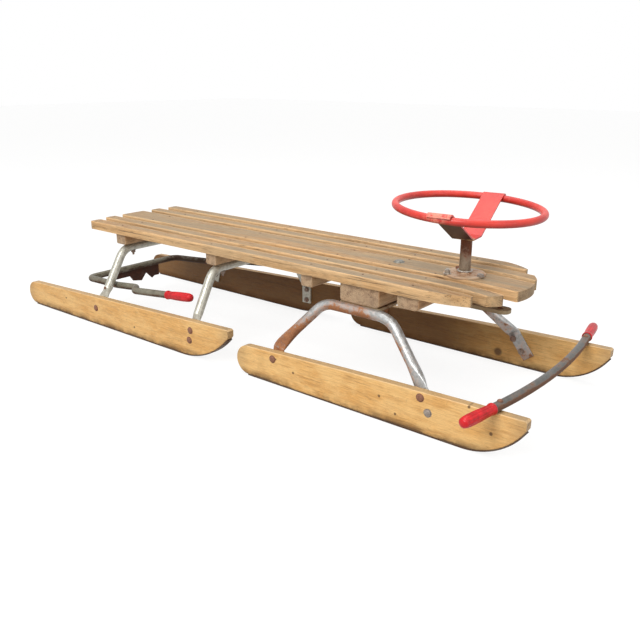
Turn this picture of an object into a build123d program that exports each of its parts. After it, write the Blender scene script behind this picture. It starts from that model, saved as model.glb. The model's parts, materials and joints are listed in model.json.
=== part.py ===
from build123d import *
from math import acos, asin, atan2, cos, pi, radians, sin, sqrt, tan
import os

# Steerable wooden bobsled with a steering wheel and a hand brake.
# Millimetres. +X points to the nose, +Y to the left-hand side, +Z up.
# The origin is on the ground, under the middle of the sled's length.
# Lengthwise places are stations, counted forward from the rear end of the
# rear runners; place_x() turns a station into an X coordinate.

# ---------------------------------------------------------------- overall
deck_top = 276.0
kingpin_station = 1209.0
kingpin_to_column = 169.0
rear_arch_station = 371.0
rear_arch_spacing = 371.0

# ---------------------------------------------------------------- deck
slat_thickness = 22.0
narrow_slat_width = 40.0
centre_slat_width = 88.0
slat_gap = 21.0
deck_rear_station = 222.0
deck_past_column = 146.0
nose_length = 172.0
outer_nose_droop = 8.0
right_inner_nose_droop = 11.0
centre_nose_droop = 4.0
left_nose_droop = 6.0
nose_droop_length = 158.0
slat_rear_setback = 5.0
slat_end_radius = 10.0
slat_nose_radius = 7.0
outer_nose_reach = 17.0
right_inner_nose_reach = -2.0
centre_nose_reach = 4.0
left_inner_nose_reach = 8.0
slat_edge_round = 3.5

# ---------------------------------------------------------------- battens
batten_thickness = 30.0
batten_inset = 8.0
batten_corner_radius = 9.0
rear_batten_width = 40.0
second_batten_width = 36.0
third_batten_width = 33.0
front_batten_width = 54.0
third_batten_behind_kingpin = 149.0
front_batten_gap = 5.0

# ---------------------------------------------------------------- bolster and turntable
bolster_width = 105.0
bolster_thickness = 44.0
bolster_corner_radius = 6.0
turntable_gap = 0.4
truck_plate_thickness = 5.0
truck_plate_margin = 2.0
truck_plate_overlap = 5.0
kingpin_diameter = 12.0
kingpin_head_diameter = 26.0
kingpin_head_top_diameter = 18.2
kingpin_head_height = 4.0
kingpin_head_gap = 0.1
kingpin_nut_diameter = 22.0
kingpin_nut_height = 10.0
kingpin_nut_gap = 0.32
kingpin_end_reach = 1.68
running_clearance = 0.08
grip_clearance = 0.05
overcut = 1.0

# ---------------------------------------------------------------- tubes
arch_tube_diameter = 24.0
bar_tube_diameter = 19.0
foot_strap_width = 31.0
foot_strap_thickness = 5.0
leg_gap = 4.0
rear_leg_end_height = 104.0
front_leg_end_height = 96.0
swage_length = 26.0

# ---------------------------------------------------------------- rear arches
rear_arch_bend_inset = 8.0
rear_arch_bend_radius = 50.0
rear_arch_leg_lean = -4.0
rear_arch_foot_lean = -25.0
second_arch_leg_lean = 2.0
second_arch_foot_lean = 3.0
rear_foot_bottom = 30.0

# ---------------------------------------------------------------- runners
runner_thickness = 20.0
shoe_thickness = 3.0
shoe_width = 18.0
shoe_end_drop = 8.0
rear_runner_past_arch = 145.0
rear_runner_outset = 82.0
rear_runner_rear_height = 71.0
rear_runner_tip_height = 102.0
rear_toe_radius = 226.0
front_runner_behind_kingpin = 299.0
front_runner_length = 736.0
front_runner_outset = 76.0
front_runner_rear_height = 75.0
front_runner_tip_height = 97.0
front_toe_radius = 150.0
front_runner_crown = 3.0
rear_runner_crown = 0.3
left_runner_trim = 18.0
runner_tip_blunt = 20.0
runner_tip_chamfer = 4.0
runner_edge_chamfer = 1.5

# ---------------------------------------------------------------- front arches
front_arch_rear_offset = -92.0
front_arch_front_offset = 86.0
front_arch_past_bolster = 4.0
front_arch_rear_bend_radius = 50.0
front_arch_front_bend_radius = 72.0
rear_leg_end_offset = -182.0
rear_leg_foot_offset = -190.0
rear_leg_foot_bottom = 40.0
front_leg_end_offset = 196.0
front_leg_foot_offset = 247.0
front_leg_foot_bottom = 29.0

# ---------------------------------------------------------------- foot bar
foot_bar_behind_tip = 44.0
foot_grip_gap = 5.0
foot_bar_bow = 19.0
foot_bar_seat = 0.3
grip_wall = 2.4
foot_grip_length = 92.0
grip_end_wall = 4.0
grip_end_chamfer = 2.0

# ---------------------------------------------------------------- steering
column_diameter = 25.0
column_above_deck = 81.0
flange_diameter = 92.0
flange_thickness = 4.0
flange_edge_chamfer = 1.5
collar_wall = 4.0
collar_top_wall = 2.0
collar_height = 6.0
wheel_above_column = 65.0
wheel_diameter = 328.0
wheel_pitch = 2.6
wheel_rest_angle = 6.5
rim_tube_diameter = 16.0
spoke_width = 48.0
spoke_end_width = 50.0
spoke_thickness = 3.5
spoke_seat_half = 24.0
spoke_flare_length = 19.5
spoke_wrap_end = 20.0
crank_radius = 89.0
crank_thickness = 6.0
crank_edge = 0.5
crank_gap_under_deck = 5.0
crank_pin_diameter = 10.0
slot_side_clearance = 1.4
crank_pin_reach = 5.0
wheel_turn = 60.0
tongue_width = 36.0
tongue_thickness = 8.0
tongue_tip_margin = 17.0
tongue_rise = 12.0
tongue_joggle_gap = 1.0
tongue_joggle_length = 26.0
tongue_corner_share = 0.45
slot_end_play = 1.0

# ---------------------------------------------------------------- brake
brake_pivot_above_leg_end = 3.0
brake_arm_gap = 10.5
brake_arm_joggle = 32.0
brake_bar_behind_arch = 162.0
brake_bar_taper = 12.0
brake_bar_drop = 9.0
brake_joggle_to_tip = 252.0
brake_joggle_run = 36.0
brake_joggle_radius = 24.0
brake_elbow_radius = 60.0
brake_tip_gap = 6.0
brake_tip_rise = 37.0
brake_corner_radius = 26.0
brake_grip_length = 96.0
brake_pin_diameter = 8.0
brake_pin_end_reach = 6.0
brake_pin_setback = 4.0
blade_thickness = 4.0
blade_right_end = -92.0
blade_left_end = 98.0
blade_depth = 27.0
blade_heel_reach = 44.0
blade_heel_width = 20.0
tooth_reach = 50.0
left_tooth_offset = 69.0
notch_offset = 46.0
middle_tooth_offset = 26.0
middle_tooth_width = 32.0
middle_tooth_flank = 12.0

# ---------------------------------------------------------------- derived
column_station = kingpin_station + kingpin_to_column
second_arch_station = rear_arch_station + rear_arch_spacing
rear_runner_length = second_arch_station + rear_runner_past_arch
front_runner_rear_station = kingpin_station - front_runner_behind_kingpin
overall_length = front_runner_rear_station + front_runner_length
deck_front_station = column_station + deck_past_column
nose_droop_station = deck_front_station - nose_droop_length
deck_bottom = deck_top - slat_thickness
deck_half_width = centre_slat_width / 2 + 2 * slat_gap + 2 * narrow_slat_width
batten_bottom = deck_bottom - batten_thickness
batten_half_length = deck_half_width - batten_inset
rear_runner_outer = deck_half_width + rear_runner_outset
front_runner_outer = deck_half_width + front_runner_outset
bolster_bottom = deck_bottom - bolster_thickness
truck_plate_top = bolster_bottom - turntable_gap
truck_plate_bottom = truck_plate_top - truck_plate_thickness
arch_tube_radius = arch_tube_diameter / 2
bar_tube_radius = bar_tube_diameter / 2
leg_inset = arch_tube_radius + leg_gap
rear_arch_half_top = batten_half_length - rear_arch_bend_inset
front_arch_half_gap = batten_half_length + front_arch_past_bolster
rear_arch_leg_end_station = rear_arch_station + rear_arch_leg_lean
foot_bar_station = overall_length - foot_bar_behind_tip
foot_bar_half_length = front_runner_outer + foot_grip_gap + foot_grip_length
tongue_top = truck_plate_bottom
tongue_bottom = tongue_top - tongue_thickness
crank_width = column_diameter + 2 * crank_edge
crank_top = deck_bottom - crank_gap_under_deck
crank_bottom = crank_top - crank_thickness
collar_diameter = column_diameter + 2 * collar_wall
collar_top_diameter = column_diameter + 2 * collar_top_wall
column_top = deck_top + column_above_deck
wheel_height = column_top + wheel_above_column
third_batten_station = kingpin_station - third_batten_behind_kingpin
front_batten_station = column_station - crank_width / 2 - front_batten_gap - front_batten_width / 2
brake_pivot_height = rear_leg_end_height + brake_pivot_above_leg_end
leg_rise = batten_bottom - arch_tube_radius - rear_leg_end_height
leg_share = brake_pivot_above_leg_end / leg_rise
brake_pivot_station = rear_arch_leg_end_station - leg_share * rear_arch_leg_lean
rear_leg_offset = rear_runner_outer - runner_thickness - leg_inset
brake_arm_offset = rear_leg_offset - arch_tube_radius - bar_tube_radius - brake_arm_gap
brake_bar_half = brake_arm_offset - brake_bar_taper
brake_bar_station = rear_arch_station - brake_bar_behind_arch
brake_bar_height = brake_pivot_height - brake_bar_drop
brake_tip_station = second_arch_station - arch_tube_radius - brake_tip_gap
brake_tip_height = brake_pivot_height + brake_tip_rise
brake_joggle_station = brake_tip_station - brake_joggle_to_tip
blade_edge_height = brake_bar_height - blade_depth
blade_heel_height = brake_bar_height - blade_heel_reach
tooth_tip_height = brake_bar_height - tooth_reach

os.makedirs("parts", exist_ok=True)


def place_x(station):
    return station - overall_length / 2


def save(name, shape):
    shape.label = name
    export_step(shape, f"parts/{name}.step")


def upright_plate(outline, thickness, y_low):
    """Extrude an X-Z outline along +Y from y_low."""
    face = Plane.XZ * make_face(outline)
    return Pos(0, y_low, 0) * extrude(face, amount=thickness, dir=(0, 1, 0))


def mirrored(shape):
    return mirror(shape, about=Plane.XZ)


# ---------------------------------------------------------------- deck
def deck_outline():
    """Top view of the whole deck: straight sides and a half-round nose."""
    nose_start = place_x(deck_front_station - nose_length)
    rear = place_x(deck_rear_station)
    nose = Pos(nose_start, 0) * Ellipse(nose_length, deck_half_width)
    body = Pos((rear + nose_start) / 2, 0) * Rectangle(nose_start - rear, 2 * deck_half_width)
    return nose + body


def board_path(droop):
    """Level along the sled, then bent a little downwards at the nose."""
    level = deck_bottom + slat_thickness / 2
    rear = place_x(deck_rear_station) - slat_end_radius
    bend_x = place_x(nose_droop_station)
    run = nose_droop_length
    bend_radius = (run ** 2 + droop ** 2) / (2 * droop)
    turn = asin((run + slat_end_radius) / bend_radius)

    def on_bend(angle):
        return (bend_x + bend_radius * sin(angle), 0, level - bend_radius * (1 - cos(angle)))

    flat = Line((rear, 0, level), (bend_x, 0, level))
    return Wire([flat, ThreePointArc(on_bend(0), on_bend(turn / 2), on_bend(turn))])


def deck_slat(y_low, width, rear_setback, front_reach, droop):
    rear = place_x(deck_rear_station) + rear_setback
    front = place_x(deck_front_station) + front_reach
    strip = Pos((rear + front) / 2, y_low + width / 2) * Rectangle(front - rear, width)
    outline = strip & (Pos(front_reach, 0) * deck_outline())
    plan = extrude(outline, amount=deck_top)
    rear_edges = plan.edges().filter_by(Axis.Z).group_by(Axis.X)[0]
    plan = fillet(rear_edges, slat_end_radius)
    sides = (y_low, y_low + width)
    corners = [edge for edge in plan.edges().filter_by(Axis.Z)
               if edge.center().X > 0 and min(abs(edge.center().Y - y) for y in sides) < 0.1]
    tip = max(corners, key=lambda edge: edge.center().X)
    plan = fillet([tip], slat_nose_radius)
    path = board_path(droop)
    section = Rectangle(slat_thickness, width)
    section = fillet(section.vertices().group_by(Axis.X)[-1], slat_edge_round)
    start = Plane(origin=path @ 0, x_dir=(0, 0, 1), z_dir=(1, 0, 0))
    board = sweep(start * (Pos(0, -(y_low + width / 2)) * section), path=path)
    return board & plan


def slat_layout():
    """Name, low Y, width, rear setback, reach and droop at the nose of the slats, right to left."""
    narrow = narrow_slat_width
    pitch = narrow + slat_gap
    outer = -deck_half_width
    half = centre_slat_width / 2
    left = half + slat_gap
    back = slat_rear_setback
    return [
        ("deck_slat_right_outer", outer, narrow, 2 * back, outer_nose_reach, outer_nose_droop),
        ("deck_slat_right_inner", outer + pitch, narrow, back, right_inner_nose_reach, right_inner_nose_droop),
        ("deck_slat_centre", -half, centre_slat_width, 0.0, centre_nose_reach, centre_nose_droop),
        ("deck_slat_left_inner", left, narrow, back, left_inner_nose_reach, left_nose_droop),
        ("deck_slat_left_outer", left + pitch, narrow, 2 * back, outer_nose_reach, left_nose_droop),
    ]


def vertical_hole(station, diameter, low, high):
    return Pos(place_x(station), 0, (low + high) / 2) * Cylinder(diameter / 2, high - low)


def make_deck():
    for name, y_low, *sizes in slat_layout():
        board = deck_slat(y_low, *sizes)
        if name == "deck_slat_centre":
            bore = kingpin_diameter + 2 * running_clearance
            board -= vertical_hole(kingpin_station, bore, deck_bottom - overcut, deck_top + overcut)
            bore = column_diameter + 2 * running_clearance
            board -= vertical_hole(column_station, bore, deck_bottom - overcut, deck_top + overcut)
        save(name, board)


def cross_piece(station, width, thickness, corner_radius):
    outline = Pos(place_x(station), 0) * RectangleRounded(width, 2 * batten_half_length, corner_radius)
    return Pos(0, 0, deck_bottom - thickness) * extrude(outline, amount=thickness)


def make_battens():
    layout = [
        ("batten_rear", rear_arch_station, rear_batten_width),
        ("batten_second", second_arch_station, second_batten_width),
        ("batten_third", third_batten_station, third_batten_width),
        ("batten_front", front_batten_station, front_batten_width),
    ]
    for name, station, width in layout:
        save(name, cross_piece(station, width, batten_thickness, batten_corner_radius))
    bolster = cross_piece(kingpin_station, bolster_width, bolster_thickness, bolster_corner_radius)
    bore = kingpin_diameter + 2 * running_clearance
    bolster -= vertical_hole(kingpin_station, bore, bolster_bottom - overcut, deck_bottom + overcut)
    save("bolster", bolster)


# ---------------------------------------------------------------- runners
class Runner:
    """Side view of one pair of runners: round rear end, crowned top, upswept toe, blunt tip."""

    def __init__(self, station, length, outer, rear_height, tip_height, crown, toe_radius):
        self.rear = place_x(station)
        self.tip = self.rear + length
        self.outer = outer
        self.inner = outer - runner_thickness
        self.rear_height = rear_height
        self.tip_height = tip_height
        self.crown = crown
        self.toe_radius = toe_radius
        self.end_radius = (rear_height - shoe_thickness) / 2
        self.back = self.rear + self.end_radius
        rise = tip_height - runner_tip_blunt - shoe_thickness
        self.sweep = acos(1 - rise / toe_radius)
        self.toe = self.tip - toe_radius * sin(self.sweep)

    def on_toe(self, angle, depth=0.0):
        radius = self.toe_radius + depth
        return (self.toe + radius * sin(angle), shoe_thickness + self.toe_radius - radius * cos(angle))

    def top_at(self, x):
        share = (x - self.back) / (self.tip - self.back)
        straight = self.rear_height + (self.tip_height - self.rear_height) * share
        return straight + 4 * self.crown * share * (1 - share)

    def wood(self):
        low = shoe_thickness
        middle = (self.back + self.tip) / 2
        outline = [
            Line((self.toe, low), (self.back, low)),
            ThreePointArc((self.back, low), (self.rear, low + self.end_radius),
                          (self.back, self.rear_height)),
            ThreePointArc((self.back, self.rear_height), (middle, self.top_at(middle)),
                          (self.tip, self.tip_height)),
            Line((self.tip, self.tip_height), self.on_toe(self.sweep)),
            ThreePointArc(self.on_toe(self.sweep), self.on_toe(self.sweep / 2), self.on_toe(0)),
        ]
        board = upright_plate(outline, runner_thickness, -self.outer)
        tip_edge = board.edges().filter_by(Axis.Y).sort_by(Axis.X)[-2:].sort_by(Axis.Z)[-1]
        board = chamfer([tip_edge], runner_tip_chamfer)
        long_edges = [edge for edge in board.edges()
                      if edge.length > 2 * runner_thickness and edge.center().Z > self.end_radius]
        return chamfer(long_edges, runner_edge_chamfer)

    def shoe(self):
        """Steel strip under the sole, bent up round the toe."""
        end = self.sweep - shoe_end_drop / self.toe_radius
        outline = [
            Line((self.back, 0), (self.toe, 0)),
            ThreePointArc((self.toe, 0), self.on_toe(end / 2, shoe_thickness), self.on_toe(end, shoe_thickness)),
            Line(self.on_toe(end, shoe_thickness), self.on_toe(end)),
            ThreePointArc(self.on_toe(end), self.on_toe(end / 2), self.on_toe(0)),
            Line(self.on_toe(0), (self.back, shoe_thickness)),
            Line((self.back, shoe_thickness), (self.back, 0)),
        ]
        return upright_plate(outline, shoe_width, -self.outer + (runner_thickness - shoe_width) / 2)


rear_shape = (rear_runner_outer, rear_runner_rear_height, rear_runner_tip_height,
              rear_runner_crown, rear_toe_radius)
rear_runner = Runner(0.0, rear_runner_length, *rear_shape)
left_rear_runner = Runner(left_runner_trim, rear_runner_length - left_runner_trim, *rear_shape)
front_runner = Runner(front_runner_rear_station, front_runner_length, front_runner_outer,
                      front_runner_rear_height, front_runner_tip_height, front_runner_crown,
                      front_toe_radius)


def make_runners():
    pairs = (("rear", rear_runner, left_rear_runner), ("front", front_runner, front_runner))
    for end, right, left in pairs:
        save(f"{end}_runner_right", right.wood())
        save(f"{end}_runner_left", mirrored(left.wood()))
        save(f"{end}_shoe_right", right.shoe())
        save(f"{end}_shoe_left", mirrored(left.shoe()))


# ---------------------------------------------------------------- tube work
def bent_tube(points, bend_radius, diameter):
    path = FilletPolyline(*points, radius=bend_radius)
    start = path @ 0
    section = Plane(origin=start, z_dir=path % 0) * Circle(diameter / 2)
    return sweep(section, path=path)


def flattened_foot(leg_end, leg_direction, foot_end, inner_y):
    """Tube end swaged flat into a strap that lies against the runner's inner face."""
    strap_y = inner_y - foot_strap_thickness / 2 * (1 if inner_y > 0 else -1)
    low = Vector(foot_end[0], strap_y, foot_end[1])
    run = (low - Vector(leg_end.X, strap_y, leg_end.Z)).normalized()
    top = Vector(leg_end.X, strap_y, leg_end.Z) + run * swage_length
    across = run.cross(Vector(0, 1, 0))
    round_face = Plane(origin=leg_end, x_dir=across, z_dir=leg_direction) * Circle(arch_tube_radius)
    strap = Rectangle(foot_strap_width, foot_strap_thickness)
    strap_faces = [Plane(origin=spot, x_dir=across, z_dir=run) * strap for spot in (top, low)]
    return loft([round_face, *strap_faces], ruled=True)


def rear_arch(station, leg_lean, foot_lean):
    """One hoop of tube under a batten, with a strap foot on each runner."""
    x = place_x(station)
    top = batten_bottom - arch_tube_radius
    leg_x = place_x(station + leg_lean)
    right = [(leg_x, -rear_leg_offset, rear_leg_end_height), (x, -rear_arch_half_top, top)]
    left = [(px, -py, pz) for px, py, pz in reversed(right)]
    hoop = bent_tube(right + left, rear_arch_bend_radius, arch_tube_diameter)
    leg_end = Vector(*right[0])
    direction = (leg_end - Vector(*right[1])).normalized()
    foot = flattened_foot(leg_end, direction, (place_x(station + foot_lean), rear_foot_bottom),
                          -rear_runner.inner)
    return hoop + foot + mirrored(foot)


def make_rear_arches():
    back = rear_arch(rear_arch_station, rear_arch_leg_lean, rear_arch_foot_lean)
    back -= brake_pin(brake_pin_diameter + 2 * running_clearance)
    save("rear_arch_back", back)
    front = rear_arch(second_arch_station, second_arch_leg_lean, second_arch_foot_lean)
    save("rear_arch_front", front)


def make_front_arches():
    top = truck_plate_top - arch_tube_radius
    leg_y = front_runner.inner - leg_inset
    legs = [
        (rear_leg_end_offset, front_arch_rear_offset, rear_leg_foot_offset, rear_leg_foot_bottom),
        (front_leg_end_offset, front_arch_front_offset, front_leg_foot_offset, front_leg_foot_bottom),
    ]
    king_x = place_x(kingpin_station)
    ends = [Vector(king_x + leg[0], -leg_y, front_leg_end_height) for leg in legs]
    bends = [Vector(king_x + leg[1], -front_arch_half_gap, top) for leg in legs]
    radii = [front_arch_rear_bend_radius, front_arch_front_bend_radius]
    arch = bent_tube([ends[0], bends[0], bends[1], ends[1]], radii, arch_tube_diameter)
    for end, bend, leg in zip(ends, bends, legs):
        foot_end = (king_x + leg[2], leg[3])
        arch += flattened_foot(end, (end - bend).normalized(), foot_end, -front_runner.inner)
    save("front_arch_right", arch)
    save("front_arch_left", mirrored(arch))
    return arch


# ---------------------------------------------------------------- front truck
def make_truck(right_arch):
    width = bolster_width + 2 * truck_plate_margin
    length = 2 * (front_arch_half_gap - truck_plate_overlap)
    outline = Pos(place_x(kingpin_station), 0) * RectangleRounded(width, length, bolster_corner_radius)
    plate = Pos(0, 0, truck_plate_bottom) * extrude(outline, amount=truck_plate_thickness)
    bore = kingpin_diameter + 2 * running_clearance
    plate -= vertical_hole(kingpin_station, bore, truck_plate_bottom - overcut, truck_plate_top + overcut)
    plate -= right_arch
    plate -= mirrored(right_arch)
    save("truck_plate", plate)

    reach = kingpin_to_column + crank_radius
    low_reach = sqrt(kingpin_to_column ** 2 + crank_radius ** 2
                     + 2 * kingpin_to_column * crank_radius * cos(radians(wheel_turn)))
    slot_width = crank_pin_diameter + 2 * slot_side_clearance
    slot_front = reach + slot_width / 2 + slot_end_play
    slot_back = low_reach - slot_width / 2 - slot_end_play
    front = slot_front + tongue_tip_margin
    back = -bolster_width / 2
    joggle_back = width / 2 + tongue_joggle_gap
    joggle = (joggle_back, joggle_back + tongue_joggle_length)
    lower = [(back, 0), (joggle[0], 0), (joggle[1], tongue_rise), (front, tongue_rise)]
    upper = [(px, pz + tongue_thickness) for px, pz in reversed(lower)]
    side = make_face(Polyline(*lower, *upper, close=True))
    bar = extrude(Plane.XZ * side, amount=tongue_width / 2, both=True)
    corner = tongue_width * tongue_corner_share
    shape = Pos((back + front) / 2, 0) * RectangleRounded(front - back, tongue_width, corner)
    slot = Pos((slot_back + slot_front) / 2, 0) * SlotOverall(slot_front - slot_back, slot_width)
    tongue = bar & extrude(shape - slot, amount=tongue_rise + tongue_thickness)
    tongue = Pos(place_x(kingpin_station), 0, tongue_bottom) * tongue
    tongue -= vertical_hole(kingpin_station, bore, tongue_bottom - overcut, tongue_top + overcut)
    save("tongue", tongue)



def make_kingpin():
    """Pin through deck, bolster, plate and tongue, with a low head above and a nut below."""
    x = place_x(kingpin_station)
    nut_low = tongue_bottom - kingpin_nut_gap - kingpin_nut_height
    head_low = deck_top + kingpin_head_gap
    shank = vertical_hole(kingpin_station, kingpin_diameter, nut_low - kingpin_end_reach, head_low + overcut)
    head = Pos(x, 0, head_low + kingpin_head_height / 2) * Cone(
        kingpin_head_diameter / 2, kingpin_head_top_diameter / 2, kingpin_head_height)
    nut_sketch = RegularPolygon(kingpin_nut_diameter / 2, 6)
    nut = Pos(x, 0, nut_low) * extrude(nut_sketch, amount=kingpin_nut_height)
    save("kingpin", shank + head + nut)


def make_foot_bar():
    """Bowed tube bolted down on the runners, with straight ends for the grips."""
    seat_y = front_runner.outer - runner_thickness / 2
    seat_x = place_x(foot_bar_station) - foot_bar_bow
    z = front_runner.top_at(seat_x) + bar_tube_radius + foot_bar_seat
    curve = (seat_y ** 2 + foot_bar_bow ** 2) / (2 * foot_bar_bow)
    turn = asin(seat_y / curve)

    def on_end(y):
        """A spot on the straight right-hand end, at the distance y from the middle."""
        return Vector(seat_x - (y - seat_y) * tan(turn), -y, z)

    def other_side(spot):
        return Vector(spot.X, -spot.Y, spot.Z)

    tube_half = foot_bar_half_length - grip_end_wall
    tip = on_end(tube_half)
    seat = on_end(seat_y)
    path = Wire([
        Line(tip, seat),
        ThreePointArc(seat, (place_x(foot_bar_station), 0, z), other_side(seat)),
        Line(other_side(seat), other_side(tip)),
    ])
    save("foot_bar", sweep(Plane(origin=path @ 0, z_dir=path % 0) * Circle(bar_tube_radius), path=path))

    inner_end = on_end(foot_bar_half_length - foot_grip_length)
    sleeve = grip(inner_end, on_end(foot_bar_half_length), tip)
    save("foot_grip_right", sleeve)
    save("foot_grip_left", mirrored(sleeve))


def grip(inner_end, outer_end, tube_end):
    """Closed plastic sleeve pushed onto the end of a tube."""
    run = (outer_end - inner_end).normalized()
    plane = Plane(origin=inner_end, z_dir=run)
    sleeve = extrude(plane * Circle(bar_tube_radius + grip_wall), amount=(outer_end - inner_end).length)
    end_edge = sleeve.edges().sort_by(lambda edge: (edge.center() - outer_end).length)[0]
    sleeve = chamfer([end_edge], grip_end_chamfer)
    bore = Circle(bar_tube_radius + grip_clearance)
    return sleeve - extrude(plane * bore, amount=(tube_end - inner_end).length)


# ---------------------------------------------------------------- steering
def make_wheel():
    """Tube rim knocked slightly nose-down, on one dished strap that is wrapped over it."""
    x = place_x(column_station)
    tube_radius = rim_tube_diameter / 2
    rim_radius = wheel_diameter / 2 - tube_radius
    rim = Pos(x, 0, wheel_height) * (Rot(0, wheel_pitch, 0) * Torus(rim_radius, tube_radius))
    save("wheel_rim", rim)

    hub_z = column_top + spoke_thickness / 2
    wrap_radius = tube_radius + spoke_thickness / 2
    rise = wheel_height - hub_z
    reach = rim_radius - spoke_seat_half
    climb = atan2(rise, reach) + asin(wrap_radius / sqrt(rise ** 2 + reach ** 2))

    def on_wrap(angle, side):
        return (x, side * (rim_radius + wrap_radius * cos(angle)), wheel_height + wrap_radius * sin(angle))

    def half(side):
        seat = (x, side * spoke_seat_half, hub_z)
        touch = on_wrap(climb + pi / 2, side)
        end = radians(spoke_wrap_end)
        wrap = ThreePointArc(touch, on_wrap((climb + pi / 2 + end) / 2, side), on_wrap(end, side))
        return [Line(seat, touch), wrap]

    flat = Line((x, -spoke_seat_half, hub_z), (x, spoke_seat_half, hub_z))
    path = Wire(half(-1) + [flat] + half(1))
    section = Plane(origin=path @ 0, x_dir=(1, 0, 0), z_dir=path % 0) * Rectangle(
        spoke_end_width, spoke_thickness)
    strap = sweep(section, path=path, transition=Transition.RIGHT)
    half_waist, half_end = spoke_width / 2, spoke_end_width / 2
    right = [(half_end, rim_radius + wrap_radius + overcut), (half_end, rim_radius - wrap_radius),
             (half_waist, rim_radius - wrap_radius - spoke_flare_length)]
    quarter_turns = [(1, 1), (1, -1), (-1, -1), (-1, 1)]
    outline = []
    for number, (sx, sy) in enumerate(quarter_turns):
        corner = right if number % 2 == 0 else list(reversed(right))
        outline += [(sx * px, sy * py) for px, py in corner]
    waist = Pos(x, 0, 0) * extrude(make_face(Polyline(*outline, close=True)), amount=2 * wheel_height)
    turned = Pos(x, 0, 0) * Rot(0, 0, wheel_rest_angle) * Pos(-x, 0, 0) * (strap & waist)
    save("wheel_spoke", turned - rim)


def make_steering():
    x = place_x(column_station)
    column = vertical_hole(column_station, column_diameter, crank_top, column_top)
    save("steering_column", column)

    flange = extrude(Circle(flange_diameter / 2), amount=flange_thickness)
    flange = chamfer(flange.edges().group_by(Axis.Z)[-1], flange_edge_chamfer)
    collar = Cone(collar_diameter / 2, collar_top_diameter / 2, collar_height)
    flange += Pos(0, 0, flange_thickness + collar_height / 2) * collar
    flange = Pos(x, 0, deck_top) * flange
    bore = column_diameter + 2 * running_clearance
    flange_top = deck_top + flange_thickness + collar_height
    flange -= vertical_hole(column_station, bore, deck_top - overcut, flange_top + overcut)
    save("column_flange", flange)

    arm = Pos(crank_radius / 2, 0) * SlotOverall(crank_radius + crank_width, crank_width)
    crank = Pos(x, 0, crank_bottom) * extrude(arm, amount=crank_thickness)
    pin_low = tongue_bottom + tongue_rise - crank_pin_reach
    crank += vertical_hole(column_station + crank_radius, crank_pin_diameter, pin_low, crank_bottom)
    save("steering_crank", crank)


# ---------------------------------------------------------------- brake
def brake_pin(diameter):
    x = place_x(brake_pivot_station)
    length = 2 * (rear_runner.inner - overcut)
    return Pos(x, 0, brake_pivot_height) * (Rot(90, 0, 0) * Cylinder(diameter / 2, length))


def arm_slope():
    return (brake_tip_height - brake_pivot_height) / (brake_tip_station - brake_pivot_station)


def arm_height(station):
    if station >= brake_pivot_station:
        return brake_pivot_height + arm_slope() * (station - brake_pivot_station)
    rise = (brake_pivot_height - brake_bar_height) / (brake_pivot_station - brake_bar_station)
    return brake_pivot_height - rise * (brake_pivot_station - station)


def make_brake():
    outer = brake_arm_offset + brake_arm_joggle
    tube_tip = brake_tip_station - grip_end_wall

    def spot(station, y):
        return (place_x(station), y, arm_height(station))

    half = [
        spot(tube_tip, -outer),
        spot(brake_joggle_station + brake_joggle_run / 2, -outer),
        spot(brake_joggle_station - brake_joggle_run / 2, -brake_arm_offset),
        spot(brake_pivot_station, -brake_arm_offset),
        spot(brake_bar_station, -brake_bar_half),
    ]
    other = [(px, -py, pz) for px, py, pz in reversed(half)]
    radii = [brake_joggle_radius, brake_joggle_radius, brake_elbow_radius, brake_corner_radius]
    path = FilletPolyline(*half, *other, radius=radii + list(reversed(radii)))
    lever = sweep(Plane(origin=path @ 0, z_dir=path % 0) * Circle(bar_tube_radius), path=path)
    lever -= brake_pin(brake_pin_diameter + 2 * running_clearance)
    save("brake_lever", lever)

    inner_end = Vector(*spot(brake_tip_station - brake_grip_length, -outer))
    sleeve = grip(inner_end, Vector(*spot(brake_tip_station, -outer)), Vector(*half[0]))
    save("brake_grip_right", sleeve)
    save("brake_grip_left", mirrored(sleeve))

    top = brake_bar_height
    heel_start = blade_left_end - blade_heel_width
    flank_foot = middle_tooth_offset - middle_tooth_width
    points = [
        (blade_right_end, top),
        (blade_left_end, top),
        (blade_left_end, blade_heel_height),
        (heel_start, blade_heel_height),
        (left_tooth_offset, tooth_tip_height),
        (notch_offset, blade_edge_height),
        (middle_tooth_offset, tooth_tip_height),
        (flank_foot, blade_heel_height),
        (flank_foot - middle_tooth_flank, blade_edge_height),
        (blade_right_end, blade_edge_height),
    ]
    blade = extrude(Plane.YZ * make_face(Polyline(*points, close=True)), amount=blade_thickness)
    blade = Pos(place_x(brake_bar_station) - blade_thickness / 2, 0, 0) * blade
    blade -= lever
    save("brake_blade", blade)

    for name, side in (("brake_pivot_right", -1), ("brake_pivot_left", 1)):
        inner = brake_arm_offset - bar_tube_radius - brake_pin_end_reach
        outer_end = rear_runner.inner - brake_pin_setback
        x = place_x(brake_pivot_station)
        middle = side * (inner + outer_end) / 2
        pin = Pos(x, middle, brake_pivot_height) * (
            Rot(90, 0, 0) * Cylinder(brake_pin_diameter / 2, outer_end - inner))
        save(name, pin)


make_deck()
make_battens()
make_runners()
make_rear_arches()
make_truck(make_front_arches())
make_kingpin()
make_foot_bar()
make_wheel()
make_steering()
make_brake()
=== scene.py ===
import json
import math
import random

import bmesh
import bpy
import numpy as np
from mathutils import Matrix, Vector


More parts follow.
